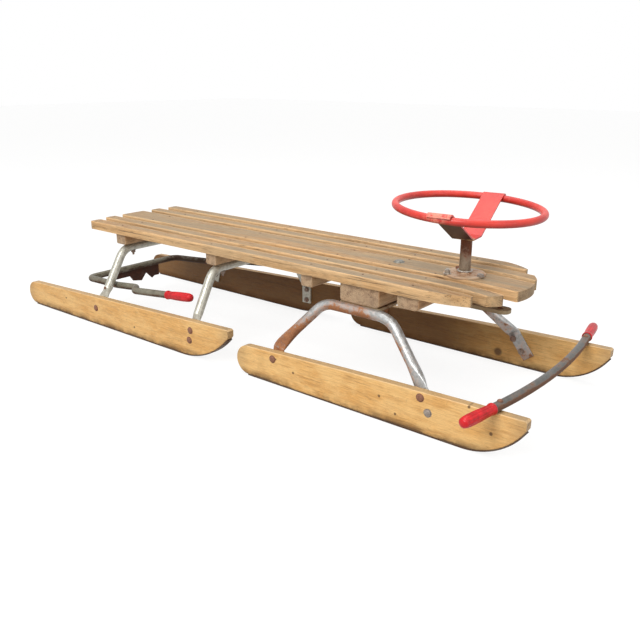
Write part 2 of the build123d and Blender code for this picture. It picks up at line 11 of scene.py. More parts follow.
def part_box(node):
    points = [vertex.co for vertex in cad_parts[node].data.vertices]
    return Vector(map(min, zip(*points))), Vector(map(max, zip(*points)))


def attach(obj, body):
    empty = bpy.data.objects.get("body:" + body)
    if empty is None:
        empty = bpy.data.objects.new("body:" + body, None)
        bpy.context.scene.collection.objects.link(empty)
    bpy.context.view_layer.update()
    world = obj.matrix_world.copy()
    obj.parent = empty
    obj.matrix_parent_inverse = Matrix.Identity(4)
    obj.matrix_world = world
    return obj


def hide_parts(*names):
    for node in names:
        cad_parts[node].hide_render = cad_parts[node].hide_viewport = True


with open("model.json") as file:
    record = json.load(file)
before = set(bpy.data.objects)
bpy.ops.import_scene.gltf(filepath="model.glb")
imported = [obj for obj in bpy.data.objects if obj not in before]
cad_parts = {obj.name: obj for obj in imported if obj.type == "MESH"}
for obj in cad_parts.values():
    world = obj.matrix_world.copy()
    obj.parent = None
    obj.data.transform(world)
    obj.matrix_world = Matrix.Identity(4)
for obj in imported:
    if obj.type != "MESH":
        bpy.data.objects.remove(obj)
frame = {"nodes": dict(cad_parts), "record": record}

scene = bpy.context.scene
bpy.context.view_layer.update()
nodes = frame["nodes"]
record = frame["record"]
random.seed(4)
MM = 0.001
half_length = 823.0    # station of the sled's middle, in millimetres from its rear end
deck_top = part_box("deck_slat_centre")[1].z
tube_radius = 0.0095   # the bars that run into the grips


def put(name, data):
    """An object of that name in the scene."""
    piece = bpy.data.objects.new(name, data)
    scene.collection.objects.link(piece)
    return piece


# -------------------- camera
def aim_camera():
    """Looks down on the sled from its right-hand side, ahead of the middle."""
    azimuth, elevation, roll = math.radians(38.50), math.radians(18.83), math.radians(0.25)
    back = Vector((math.sin(azimuth) * math.cos(elevation), -math.cos(azimuth) * math.cos(elevation),
                   math.sin(elevation)))
    level = Vector((math.cos(azimuth), math.sin(azimuth), 0))
    rise = back.cross(level)
    right = level * math.cos(roll) + rise * math.sin(roll)
    up = rise * math.cos(roll) - level * math.sin(roll)
    data = bpy.data.cameras.new("camera")
    data.sensor_width = 36
    data.lens = 40.81
    data.clip_start, data.clip_end = 0.05, 60
    camera = put("camera", data)
    turn = Matrix((right, up, back)).transposed()
    camera.matrix_world = Matrix.Translation((1.26392, -1.39780, 0.69206)) @ turn.to_4x4()
    scene.camera = camera


aim_camera()


# -------------------- node kit
def srgb(red, green, blue):
    """A colour given as 0 to 255, made linear."""
    def linear(part):
        part /= 255
        return part / 12.92 if part <= 0.04045 else ((part + 0.055) / 1.055) ** 2.4
    return (linear(red), linear(green), linear(blue), 1.0)


class Tree:
    """A node tree that is built node by node."""

    def __init__(self, tree):
        self.tree = tree

    def make(self, kind, settings=None, sockets=None):
        node = self.tree.nodes.new(kind)
        for name, value in (settings or {}).items():
            if name == "stops":
                self.set_stops(node.color_ramp, value)
            else:
                setattr(node, name, value)
        for name, value in (sockets or {}).items():
            self.feed(node.inputs[name], value)
        return node

    def feed(self, socket, value):
        if isinstance(value, Value):
            value = value.socket
        if isinstance(value, bpy.types.NodeSocket):
            self.tree.links.new(value, socket)
        else:
            socket.default_value = value

    @staticmethod
    def set_stops(ramp, stops):
        while len(ramp.elements) > 1:
            ramp.elements.remove(ramp.elements[-1])
        ramp.elements[0].position, ramp.elements[0].color = stops[0]
        for position, colour in stops[1:]:
            ramp.elements.new(position).color = colour


class Value:
    """A number that changes over the surface and takes part in ordinary sums."""

    def __init__(self, tree, socket):
        self.tree = tree
        self.socket = socket

    def sum(self, operation, *others, clamp=False):
        sockets = {number: other for number, other in enumerate((self, *others))}
        node = self.tree.make("ShaderNodeMath", {"operation": operation, "use_clamp": clamp}, sockets)
        return Value(self.tree, node.outputs[0])

    def __add__(self, other):
        return self.sum("ADD", other)

    def __sub__(self, other):
        return self.sum("SUBTRACT", other)

    def __mul__(self, other):
        return self.sum("MULTIPLY", other)

    def __truediv__(self, other):
        return self.sum("DIVIDE", other)

    def __rsub__(self, other):
        node = self.tree.make("ShaderNodeMath", {"operation": "SUBTRACT"}, {0: other, 1: self})
        return Value(self.tree, node.outputs[0])

    __radd__, __rmul__ = __add__, __mul__

    def __abs__(self):
        return self.sum("ABSOLUTE")

    def clamp(self):
        return self.sum("ADD", 0.0, clamp=True)

    def lowest(self, other):
        return self.sum("MINIMUM", other)

    def highest(self, other):
        return self.sum("MAXIMUM", other)

    def root(self):
        return self.sum("SQRT")

    def fraction(self):
        return self.sum("FRACT")

    def step(self, low, high):
        """0 below low, 1 above high, smooth between; turned round where high is below low."""
        if high < low:
            return 1 - self.step(high, low)
        settings = {"interpolation_type": "SMOOTHSTEP", "clamp": True}
        sockets = {"Value": self, "From Min": low, "From Max": high, "To Min": 0.0, "To Max": 1.0}
        node = self.tree.make("ShaderNodeMapRange", settings, sockets)
        return Value(self.tree, node.outputs["Result"])


class Finish(Tree):
    """One material."""

    def __init__(self, name):
        self.material = bpy.data.materials.new(name)
        self.material.use_nodes = True
        super().__init__(self.material.node_tree)
        self.tree.nodes.clear()
        self.shader = self.make("ShaderNodeBsdfPrincipled")
        output = self.make("ShaderNodeOutputMaterial")
        self.tree.links.new(self.shader.outputs[0], output.inputs["Surface"])
        self.place = self.make("ShaderNodeTexCoord").outputs["Object"]
        parts = self.make("ShaderNodeSeparateXYZ", {}, {"Vector": self.place})
        self.x, self.y, self.z = (Value(self, parts.outputs[axis]) for axis in "XYZ")
        normal = self.make("ShaderNodeNewGeometry").outputs["True Normal"]
        facing = self.make("ShaderNodeSeparateXYZ", {}, {"Vector": normal})
        self.facing = tuple(Value(self, facing.outputs[axis]) for axis in "XYZ")

    def vector(self, along, across, up, shift=(0, 0, 0)):
        """The place, stretched by a factor along each axis and moved on."""
        sockets = {0: self.place, 1: (along, across, up), 2: shift}
        return self.make("ShaderNodeVectorMath", {"operation": "MULTIPLY_ADD"}, sockets).outputs[0]

    def noise(self, vector, detail=2.0, roughness=0.5):
        sockets = {"Vector": vector, "Scale": 1.0, "Detail": detail, "Roughness": roughness}
        return Value(self, self.make("ShaderNodeTexNoise", {}, sockets).outputs["Fac"])

    def even(self, scale, shift=(0, 0, 0), detail=3.0, roughness=0.6):
        """Noise that is as fine one way as another, with scale cells a metre."""
        return self.noise(self.vector(scale, scale, scale, shift), detail, roughness)

    def mix(self, share, first, second, blend="MIX"):
        settings = {"data_type": "RGBA", "blend_type": blend, "clamp_factor": True}
        return self.make("ShaderNodeMix", settings, {0: share, 6: first, 7: second}).outputs[2]

    def ramp(self, value, *stops):
        return self.make("ShaderNodeValToRGB", {"stops": stops}, {"Fac": value}).outputs["Color"]

    def near(self, spot, reach, core=0.0):
        """1 at a spot, falling to 0 at the reach. None in the spot leaves that axis out."""
        total = None
        for axis, middle in zip((self.x, self.y, self.z), spot):
            if middle is not None:
                gap = axis - middle
                total = gap * gap if total is None else total + gap * gap
        return total.root().step(reach, core)

    def attribute(self, name):
        return Value(self, self.make("ShaderNodeAttribute", {"attribute_name": name}).outputs["Fac"])

    def relief(self, height, strength=0.5, depth=0.001):
        sockets = {"Height": height, "Strength": strength, "Distance": depth}
        self.feed(self.shader.inputs["Normal"], self.make("ShaderNodeBump", {}, sockets).outputs[0])

    def set(self, **values):
        """Feeds the shader's sockets; an underscore in a name stands for a space."""
        for name, value in values.items():
            self.feed(self.shader.inputs[name.replace("_", " ")], value)


# -------------------- wood
def wood(name, seed, grain, pith, tones, weather=0.6, ring=4.0, dirt=0.5, worn=None, face=None,
         shade=None, flank=None, short=1.0, rim=None, marks=(), shine=0.55):
    """Old sawn wood: rings round a pith line along the grain, streaks, pores, weather and dirt.
    tones are pale, warm, streak, weathered and soiled wood. worn gives a board's two long sides,
    rubbed to the flank tone, with its side faces in that tone too, partly as cleaner wood and partly
    as painted light, and face a runner's bottom, nose and tail. rim is the tone of its broken top edge,
    worn and with a painted highlight, shade is painted shade that darkens its inner side under the deck
    between two places along the sled, short makes the figure finer, and marks are dark spots and knots."""
    finish = Finish(name)
    pale, warm, line, grey, soil = (srgb(*tone) for tone in tones)
    shift = (seed * 3.7, seed * 1.9, seed * 5.3)
    side = finish.y if grain == "x" else finish.x

    def stretched(length, width, detail=3.0, roughness=0.6):
        sizes = (length, width, width) if grain == "x" else (width, length, width)
        return finish.noise(finish.vector(*sizes, shift), detail, roughness)

    bend = stretched(1.3, 7, 2.0) - 0.5
    ripple = stretched(7, 46, 2.0) - 0.5
    wide, deep = side - pith[0], finish.z - pith[1]
    radius = (wide * wide + deep * deep).root() + bend * 0.034 + ripple * 0.0030
    for spot, size in marks:
        radius = radius + finish.near(spot, size * 3.0) * size * 0.5
    turn = (radius * (1000 / ring)).fraction()
    late = turn.step(0.40, 0.92) * turn.step(1.0, 0.94)
    broad = stretched(2.6 * short, 24)
    streak = stretched(4.5 * short, 72 + 14 * short, 5.0, 0.66)
    dash = stretched(26 + 16 * short, 300 + 110 * (short - 1), 3.0, 0.6)
    fibre = stretched(40, 1100, 3.0, 0.7)
    patch = finish.even(11, shift, 5.0, 0.65)
    speck = finish.even(210, shift, 3.0, 0.6)

    up = finish.facing[2].step(0.5, 0.9)
    colour = finish.mix(broad.step(0.36, 0.64), pale, warm)
    lines = streak.step(0.47, 0.70) * 0.85 + late * 0.30
    colour = finish.mix((lines / short ** 0.5).clamp(), colour, line)
    glow = finish.even(42, shift, 3.0, 0.6)
    colour = finish.mix(glow.step(0.50, 0.68) * 0.5, colour, pale)
    aged = streak.step(0.66, 0.40) * 0.65 + broad.step(0.62, 0.36) * 0.45
    aged = aged * weather * (0.22 + up * 0.78)
    if worn:
        low, high = worn
        edge = (side - low).lowest(high - side)
        rubbed = edge.step(0.0085, 0.0025) * up * (0.55 + patch * 0.9)
        aged = aged * (1 - rubbed.clamp())
        colour = finish.mix((rubbed * 0.5).clamp(), colour, srgb(*flank))
        # side faces take the flank tone: partly cleaner, less weathered wood and partly painted light
        colour = finish.mix((1 - up) * (0.35 + streak.step(0.55, 0.38) * 0.5), colour, srgb(*flank))
    colour = finish.mix(aged.clamp(), colour, grey)
    end = abs(finish.facing[0 if grain == "x" else 1]).step(0.75, 0.95)
    blotch = finish.even(75, shift, 4.0, 0.65)
    cut = finish.mix((late * 0.6 + blotch.step(0.46, 0.66) * 0.6).clamp(), finish.mix(0.5, pale, grey), soil)
    stain = finish.even(38, (seed * 2.0, 1.0, 4.0), 4.0, 0.6)
    cut = finish.mix(stain.step(0.50, 0.62) * 0.5, cut, finish.mix(0.5, soil, grey))
    colour = finish.mix(end * 0.72, colour, cut)
    grime = (patch.step(0.54, 0.76) * 0.40 + speck.step(0.63, 0.73) * 0.55) * dirt
    if face:
        bottom, nose, tail = face
        foot = finish.z.step(bottom + 0.022, bottom + 0.002) * patch.step(0.34, 0.58)
        grime = grime + foot * 0.85 + finish.z.step(bottom + 0.006, bottom) * 0.5
        tip = finish.x.step(nose - 0.05, nose) * 0.6 + finish.x.step(tail + 0.05, tail) * 0.5
        dusk = (up * 0.85 + tip) * (0.55 + patch * 0.6)
        colour = finish.mix(dusk.clamp(), colour, grey)
        # painted highlight and wear: the sloped top edge, picked by which way it faces, takes the lighter rim
        # tone
        bevel = finish.facing[2].step(0.40, 0.60) * finish.facing[2].step(0.94, 0.82)
        colour = finish.mix(bevel * 0.4, colour, srgb(*rim))
    colour = finish.mix(grime.clamp() * 0.9, colour, soil)
    pores = dash.step(0.57, 0.70)
    colour = finish.mix(pores * (0.42 / short ** 0.4), colour, finish.mix(0.5, line, soil))
    split = abs(stretched(2.4, 95, 2.0, 0.5) - 0.5)
    crack = split.step(0.011, 0.003) * broad.step(0.44, 0.56)
    colour = finish.mix(crack * (0.65 / short), colour, soil)
    for spot, size in marks:
        heart = finish.near(spot, size, size * 0.45)
        colour = finish.mix(heart * 0.85, colour, soil)
    # painted shade: between start and stop the inner faces darken to a deep brown, standing in for the deck's
    # shadow
    if shade:
        start, stop = shade
        painted_deck_shade = finish.x.step(stop, start) * finish.facing[1].step(0.2, -0.6)
        colour = finish.mix(painted_deck_shade * 0.86, colour, srgb(96, 56, 6))
    fine = finish.ramp(fibre, (0.30, (0.74, 0.74, 0.74, 1)), (0.64, (1.16, 1.16, 1.16, 1)))
    colour = finish.mix(0.8, colour, fine, "MULTIPLY")
    rough = (shine + aged * 0.2 + grime * 0.2 + (fibre - 0.5) * 0.15).clamp()
    finish.set(Base_Color=colour, Roughness=rough, Specular_IOR_Level=0.3)
    height = fibre * 0.5 + streak * 0.7 - late * 0.25 - crack * 2.4 - pores * 0.5 - end * late * 0.4
    finish.relief(height, 0.6, 0.0007)
    return finish.material


# -------------------- metal
def rusted(name, seed, tones, rust=0.4, metal=0.5, smooth=0.42, spots=60, under=0.0, turn=(0.25, -0.35),
           places=(), own=False):
    """Coated steel with rust patches. tones are the sound metal, its dull shade, rust and dark
    rust. under adds rust where the face turns down past turn, places adds it near spots, and own
    reads it from the piece itself."""
    finish = Finish(name)
    clean, dull, brown, dark = (srgb(*tone) for tone in tones)
    shift = (seed * 2.3, seed * 4.1, seed * 1.7)
    cloud = finish.even(16, shift, 5.0, 0.6)
    mottle = finish.even(spots, shift, 4.0, 0.62)
    grit = finish.even(520, shift, 3.0, 0.6)
    eaten = cloud * 0.62 + mottle * 0.48 + (grit - 0.5) * 0.26
    if under:
        eaten = eaten + finish.facing[2].step(*turn) * under
    for spot, reach, amount in places:
        eaten = eaten + finish.near(spot, reach, reach * 0.3) * amount
    if own:
        eaten = eaten + (finish.attribute("rust") - 0.5) * 0.5
    edge = 0.86 - rust * 0.62
    mask = eaten.step(edge - 0.035, edge + 0.05)
    sound = finish.mix(((mottle - 0.34) * 2.0 + (grit - 0.5) * 0.8).clamp(), dull, clean)
    corroded = finish.mix((mottle * 1.5 - 0.28 + (grit - 0.5) * 1.1).clamp(), dark, brown)
    colour = finish.mix(mask, sound, corroded)
    stain = eaten.step(edge - 0.13, edge) * (1 - mask)
    colour = finish.mix(stain * 0.45, colour, brown)
    finish.set(Base_Color=colour, Metallic=(1 - mask) * metal,
               Roughness=(smooth + mask * (0.88 - smooth) + (mottle - 0.5) * 0.25).clamp())
    finish.relief(mottle * 0.5 + grit * (0.3 + mask * 0.8) + mask * 0.5, 0.4, 0.0006)
    return finish.material


def red_paint(name, tan_spots=(), pink_spots=(), under=0.35, deep=1.0):
    """Old red enamel, bleached and chipped, rubbed to tan and pink near spots. under is how far
    its lower faces darken with painted shade, deep how strong the red is."""
    finish = Finish(name)
    cloud = finish.even(16, (1, 2, 3), 4.0, 0.6)
    scuff = finish.even(75, (3, 1, 2), 4.0, 0.68)
    grit = finish.even(430, (2, 3, 1), 3.0, 0.6)
    first, second = (tuple(channel * deep for channel in tone) for tone in ((190, 36, 26), (216, 56, 40)))
    colour = finish.mix(cloud.step(0.36, 0.66), srgb(*first), srgb(*second))
    colour = finish.mix(scuff.step(0.56, 0.74) * 0.34, colour, srgb(214, 104, 82))
    # painted shade: faces that turn down darken towards a near-black red-brown, by under
    low = finish.facing[2].step(-0.1, -0.5)
    colour = finish.mix(low * under, colour, srgb(30, 12, 10))
    for spot, reach in pink_spots:
        rubbed = finish.near(spot, reach, reach * 0.4) * scuff.step(0.40, 0.56)
        colour = finish.mix(rubbed * 0.75, colour, srgb(226, 138, 112))
    worn = cloud * 0.50 + scuff * 0.52 + (grit - 0.5) * 0.30
    bare = worn.step(0.668, 0.692)
    chip = finish.mix(grit.step(0.4, 0.6), srgb(70, 34, 28), srgb(120, 72, 54))
    colour = finish.mix(bare * 0.9, colour, chip)
    for spot, reach in tan_spots:
        patch = finish.near(spot, reach, reach * 0.5) * scuff.step(0.34, 0.46)
        tan = finish.mix(grit.step(0.4, 0.6), srgb(150, 118, 84), srgb(206, 176, 134))
        colour = finish.mix(patch, colour, tan)
        bare = bare.highest(patch)
    finish.set(Base_Color=colour, Roughness=(0.34 + scuff * 0.22 + bare * 0.3).clamp(),
               Specular_IOR_Level=0.5, Coat_Weight=0.12, Coat_Roughness=0.18)
    finish.relief(scuff * 0.25 + grit * 0.2 - bare * 0.8, 0.35, 0.0006)
    return finish.material


def red_plastic(name):
    """Glossy red moulding, scuffed and a little soiled."""
    finish = Finish(name)
    cloud = finish.even(45)
    scuff = finish.even(320, (0, 0, 0), 4.0, 0.65)
    colour = finish.mix(cloud.step(0.35, 0.65), srgb(172, 10, 20), srgb(204, 24, 32))
    colour = finish.mix(scuff.step(0.58, 0.74) * 0.45, colour, srgb(96, 14, 18))
    finish.set(Base_Color=colour, Roughness=(0.26 + scuff * 0.22).clamp(),
               Specular_IOR_Level=0.32, Coat_Weight=0.08, Coat_Roughness=0.12)
    finish.relief(scuff * 0.3 + cloud * 0.2, 0.2, 0.0004)
    return finish.material


deck_tones = ((186, 160, 124), (194, 150, 100), (134, 98, 60), (148, 130, 106), (76, 56, 40))
batten_tones = ((208, 178, 140), (200, 158, 116), (160, 118, 82), (166, 146, 126), (92, 70, 56))
runner_tones = ((236, 192, 126), (226, 174, 104), (186, 132, 72), (166, 138, 100), (84, 60, 38))
pale_steel = ((214, 212, 200), (160, 157, 145), (132, 98, 70), (78, 56, 42))
silver = ((202, 206, 208), (142, 140, 136), (180, 122, 80), (112, 70, 46))
olive_steel = ((150, 146, 128), (98, 92, 78), (92, 68, 50), (50, 36, 28))
bar_steel = ((112, 114, 112), (84, 82, 78), (128, 92, 68), (72, 48, 36))
sole = ((126, 116, 100), (84, 76, 66), (96, 68, 48), (56, 40, 30))
dark_rust = ((92, 64, 50), (66, 44, 34), (92, 52, 34), (46, 26, 18))
tan_steel = ((190, 172, 138), (150, 130, 100), (132, 92, 62), (74, 50, 34))
brown_steel = ((172, 158, 138), (114, 94, 76), (134, 80, 52), (66, 38, 26))
pink_steel = ((214, 192, 162), (178, 152, 124), (176, 122, 84), (104, 68, 50))
grey_steel = ((146, 146, 140), (112, 108, 98), (122, 92, 70), (74, 54, 42))

sole_thickness = 0.003

runner_marks = {
    "front_runner_right": (((0.2666, None, 0.044), 0.004), ((0.5024, None, 0.0553), 0.0042),
                           ((0.5432, None, 0.0266), 0.004), ((0.7071, None, 0.0921), 0.0042),
                           ((0.756, None, 0.051), 0.005), ((0.214, None, 0.064), 0.0035)),
    "front_runner_left": (((0.551, None, 0.026), 0.014), ((0.7505, None, 0.0808), 0.004)),
    "rear_runner_right": (((-0.30, None, 0.03), 0.004), ((-0.62, None, 0.052), 0.0035)),
}


def paint_wood(name, number, low, high):
    """The wood of a slat, batten, bolster or runner, with its pith where the board was cut."""
    middle = (low + high) / 2
    if name.startswith("deck_slat"):
        lean = -1 if number % 2 else 1
        pith = (middle.y + lean * 0.022, low.z - 0.030 - 0.009 * (number % 3))
        # flank: the tone of rubbed long edges, and of the side faces, where it is partly painted light
        return wood(name, number + 1.0, "x", pith, deck_tones, weather=1.0, ring=3.6, dirt=0.5,
                    worn=(low.y, high.y), flank=(228, 186, 134))
    if name.startswith("batten") or name == "bolster":
        pith = (middle.x + 0.012, low.z - 0.020)
        return wood(name, number + 2.0, "y", pith, batten_tones, weather=0.5, ring=3.0, dirt=0.6)
    pith = (middle.y + (0.06 if middle.y > 0 else -0.06), middle.z - 0.02)
    # shade paints the deck's shadow onto the far runners' inner faces; rim is a worn edge tone that is also a
    # painted highlight
    shade = {"front_runner_left": (0.36, 0.62), "rear_runner_left": (0.30, 0.9)}.get(name)
    return wood(name, number + 3.0, "x", pith, runner_tones, weather=0.25, ring=4.4, dirt=0.4,
                face=(sole_thickness, high.x, low.x), shade=shade, short=4.0, rim=(236, 200, 150),
                marks=runner_marks.get(name, ()), shine=0.45)


# what a name holds, then tones, rust, metal, smoothness and the fineness of the rust
plain_metals = (("rear_arch", pale_steel, 0.16, 0.45, 0.34, 110), ("shoe", sole, 0.55, 0.3, 0.5, 60),
                ("brake_blade", dark_rust, 0.75, 0.2, 0.6, 60), ("tongue", tan_steel, 0.42, 0.15, 0.55, 60),
                ("truck_plate", tan_steel, 0.42, 0.15, 0.55, 60),
                ("column_flange", pink_steel, 0.44, 0.15, 0.5, 90),
                ("kingpin", grey_steel, 0.22, 0.4, 0.45, 60), ("", brown_steel, 0.55, 0.3, 0.5, 60))


def paint_metal(name, number):
    """The paint, plastic or steel of any piece that is not wood."""
    hub = record_joint("wheel_turn")[0]
    if name == "wheel_rim":
        return red_paint(name, (), (((hub + 0.010, -0.156, 0.43), 0.032),), 0.3, 0.98)
    if name == "wheel_spoke":
        tan_spots = (((hub - 0.002, -0.012, 0.361), 0.022), ((hub + 0.02, -0.02, 0.361), 0.012))
        return red_paint(name, tan_spots, (((hub + 0.018, -0.156, 0.432), 0.045),), 0.96)
    if "grip" in name:
        return red_plastic(name)
    if name.startswith("front_arch"):
        side = -1 if name.endswith("right") else 1
        places = (((0.205, side * 0.205, 0.105), 0.080, 0.15), ((0.245, side * 0.19, 0.14), 0.07, 0.06),
                  ((0.37, side * 0.155, 0.192), 0.090, 0.06), ((0.515, side * 0.180, 0.150), 0.030, 0.05))
        return rusted(name, number, silver, 0.28, 0.58, 0.38, 110, under=0.12, turn=(0.45, -0.15),
                      places=places)
    # brake lever: the dark rust near its far place is painted shade under the deck; the rust on its lower
    # faces is rust and partly painted shade
    if name == "brake_lever":
        return rusted(name, number, olive_steel, 0.30, 0.4, 0.48, under=0.16,
                      places=(((-0.45, 0.20, 0.12), 0.26, 0.22),))
    if name == "foot_bar":
        return rusted(name, number, bar_steel, 0.34, 0.35, 0.42, under=0.30, turn=(0.72, 0.25))
    if name == "steering_column":
        return rusted(name, number, brown_steel, 0.62, 0.35, 0.45, places=(((hub, 0.0, 0.30), 0.035, -0.25),))
    look = next(look for holds, *look in plain_metals if holds in name)
    return rusted(name, number, *look)


def record_joint(name):
    """The place of a joint, from the record."""
    for joint in record["behaviour"]["joints"]:
        if joint["name"] == name:
            return joint["pos_m"]
    raise ValueError(name)


def paint_nodes():
    """Gives every CAD node the finish of its own piece."""
    wooden = ("deck_slat", "batten", "bolster", "front_runner", "rear_runner")
    for number, name in enumerate(sorted(nodes)):
        low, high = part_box(name)
        made = paint_wood(name, number, low, high) if name.startswith(wooden) else paint_metal(name, number)
        mesh = nodes[name].data
        mesh.materials.clear()
        mesh.materials.append(made)


paint_nodes()


# -------------------- pieces
def mesh_piece(name, vertices, faces, smooth=True):
    mesh = bpy.data.meshes.new(name)
    mesh.from_pydata([tuple(v) for v in vertices], [], faces)
    mesh.validate()
    mesh.polygons.foreach_set("use_smooth", [smooth] * len(mesh.polygons))
    return put(name, mesh)


def ring_faces(levels, around):
    """Faces between rings of vertices that follow one another."""
    faces = []
    for level in range(levels - 1):
        for number in range(around):
            after = (number + 1) % around
            low, high = level * around, (level + 1) * around
            faces.append((low + number, low + after, high + after, high + number))
    return faces


def end_faces(levels, around):
    """One face over the first ring and one over the last."""
    return [tuple(range(around)), tuple(range((levels - 1) * around, levels * around))]


def outward(piece):
    """Turns every face outwards."""
    work = bmesh.new()
    work.from_mesh(piece.data)
    bmesh.ops.recalc_face_normals(work, faces=work.faces)
    work.to_mesh(piece.data)
    work.free()


def stand_in(name, ending, body, vertices, faces, flat_ends=False):
    """A piece in the place of a CAD node, in that node's own finish."""
    piece = mesh_piece(f"{name}_{ending}", vertices, faces)
    outward(piece)
    piece.data.materials.append(nodes[name].data.materials[0])
    if flat_ends:
        piece.data.polygons[-1].use_smooth = piece.data.polygons[-2].use_smooth = False
    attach(piece, body)
    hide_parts(name)


def soften(name, width):
    """Breaks the sawn edges of a wooden piece with a small round."""
    bevel = nodes[name].modifiers.new("worn edges", "BEVEL")
    bevel.width = width
    bevel.segments = 3
    bevel.limit_method = "ANGLE"
    bevel.angle_limit = math.radians(50)


def rounded_board(name, low_edge, high_edge, end_edge):
    """A board across the sled whose long edges are rounded off, more below than on top."""
    low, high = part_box(name)
    middle, half = (low + high) / 2, (high - low) / 2
    outline = []
    for turn, edge in ((2, low_edge), (3, low_edge), (0, high_edge), (1, high_edge)):
        reach_x = (half.x - edge) * (1 if turn in (0, 3) else -1)
        reach_z = (half.z - edge) * (1 if turn in (0, 1) else -1)
        for step in range(7):
            angle = math.pi / 2 * (turn + step / 6)
            outline.append((reach_x + edge * math.cos(angle), reach_z + edge * math.sin(angle)))
    levels = [(half.y - end_edge * (1 - math.sin(a)), end_edge * (1 - math.cos(a)))
              for a in (math.pi / 2 * step / 4 for step in range(4, -1, -1))]
    levels += [(half.y * share, 0.0) for share in (0.8, 0.5, 0.2)]
    levels += [(-y, inset) for y, inset in reversed(levels)]
    vertices = []
    for y, inset in levels:
        narrow, shallow = 1 - inset / half.x, 1 - inset / half.z
        vertices.extend((middle.x + x * narrow, middle.y + y, middle.z + z * shallow) for x, z in outline)
    faces = ring_faces(len(levels), len(outline)) + end_faces(len(levels), len(outline))
    stand_in(name, "worn", "sled", vertices, faces, flat_ends=True)


for node_name in sorted(nodes):
    if node_name.startswith("deck_slat"):
        soften(node_name, 0.003)
rounded_board("bolster", 0.009, 0.0025, 0.003)
rounded_board("batten_front", 0.011, 0.0025, 0.003)
for node_name in ("batten_rear", "batten_second", "batten_third"):
    rounded_board(node_name, 0.004, 0.002, 0.002)


# -------------------- front arches
def rounded_path(corners, radii):
    """Places along a line of straight runs, with an arc of its own radius at each corner."""
    corners = [Vector(corner) for corner in corners]
    spots = [corners[0]]
    for before, corner, after, radius in zip(corners, corners[1:], corners[2:], radii):
        back, ahead = (before - corner).normalized(), (after - corner).normalized()
        half = back.angle(ahead) / 2
        centre = corner + (back + ahead).normalized() * (radius / math.sin(half))
        cut = radius / math.tan(half)
        first = (corner + back * cut - centre).normalized()
        last = (corner + ahead * cut - centre).normalized()
        spots.extend(centre + first.slerp(last, step / 14) * radius for step in range(15))
    return spots + [corners[-1]]


arch_tube = 0.0119          # radius of the bent tube
strap_half = (0.0154, 0.00245)   # half width and half thickness of a flattened foot
arch_reach = 0.162          # the tube's middle line over the truck plate, from the sled's middle
leg_end_height = 0.096
leg_inset, strap_inset = 0.0125, 0.0025   # middle lines of leg and strap, from the runner's inner face
flare_above, flare_below = 0.052, 0.012   # where a leg starts to flatten and where it is flat
# for each leg, ahead of the kingpin: its end, its bend, the bend's radius, its foot and that foot's height
arch_legs = ((-0.179, -0.092, 0.050, -0.187, 0.0403), (0.196, 0.086, 0.072, 0.247, 0.0293))


def flared_leg(end, bend, foot, strap_y):
    """Places down a leg, each with how flat the tube is there, and the place where it starts."""
    start = end + (bend - end).normalized() * flare_above
    knee = Vector((end.x, strap_y, end.z))
    flat = knee + (foot - knee).normalized() * flare_below
    steps = 14
    places = []
    for step in range(steps + 1):
        share = step / steps
        spot = start * (1 - share) ** 2 + end * (2 * share * (1 - share)) + flat * share * share
        places.append((spot, share * share * (3 - 2 * share)))
    return start, places + [(flat.lerp(foot, share), 1.0) for share in (0.25, 0.5, 0.75, 1.0)]


def make_front_arch(hand, side):
    """A bent tube whose legs flatten little by little into the straps on the runner."""
    name = f"front_arch_{hand}"
    king = record_joint("truck_turn")[0]
    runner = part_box(f"front_runner_{hand}")
    inner = runner[1].y if side < 0 else runner[0].y
    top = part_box("truck_plate")[1].z - 0.012
    strap_y = inner - side * strap_inset
    bends, radii, legs = [], [], []
    for end, bend, radius, foot, height in arch_legs:
        bends.append(Vector((king + bend, side * arch_reach, top)))
        radii.append(radius)
        legs.append(flared_leg(Vector((king + end, inner - side * leg_inset, leg_end_height)), bends[-1],
                               Vector((king + foot, strap_y, height)), strap_y))
    (rear_start, rear_places), (front_start, front_places) = legs
    over = rounded_path([rear_start, *bends, front_start], radii)
    places = rear_places[::-1] + [(spot, 0.0) for spot in over[1:-1]] + front_places
    spots = [spot for spot, _ in places]
    vertices, around = [], 36
    for number, (spot, share) in enumerate(places):
        run = (spots[min(number + 1, len(spots) - 1)] - spots[max(number - 1, 0)]).normalized()
        across = run.cross(Vector((0, 1, 0))).normalized()
        out = across.cross(run).normalized()
        reach, depth = (arch_tube + (flat - arch_tube) * share for flat in strap_half)
        power = 2 / (2 + 5 * share)
        for step in range(around):
            angle = 2 * math.pi * step / around
            cos, sin = math.cos(angle), math.sin(angle)
            vertices.append(spot + across * math.copysign(abs(cos) ** power * reach, cos)
                            + out * math.copysign(abs(sin) ** power * depth, sin))
    faces = ring_faces(len(places), around) + end_faces(len(places), around)
    stand_in(name, "tube", "front_truck", vertices, faces)


make_front_arch("right", -1)
make_front_arch("left", 1)


# -------------------- grips
def straight_line(name):
    """The ends of a straight round piece's middle line, and its radius."""
    node = nodes[name]
    spots = np.array([node.matrix_world @ vertex.co for vertex in node.data.vertices])
    middle = spots.mean(axis=0)
    run = np.linalg.svd(spots - middle, full_matrices=False)[2][0]
    along = (spots - middle) @ run
    off = spots - middle - np.outer(along, run)
    ends = [Vector(middle + run * reach) for reach in (along.min(), along.max())]
    return ends, float(np.linalg.norm(off, axis=1).max())


grip_profile = ((0.000, 0.92), (0.012, 0.985), (0.030, 1.0), (0.052, 0.985), (0.070, 0.93), (0.095, 0.885),
                (0.16, 0.875), (0.26, 0.91), (0.38, 0.955), (0.52, 0.985), (0.66, 0.99), (0.78, 0.98),
                (0.86, 0.955), (0.915, 0.90), (0.950, 0.81), (0.975, 0.66), (0.990, 0.44))


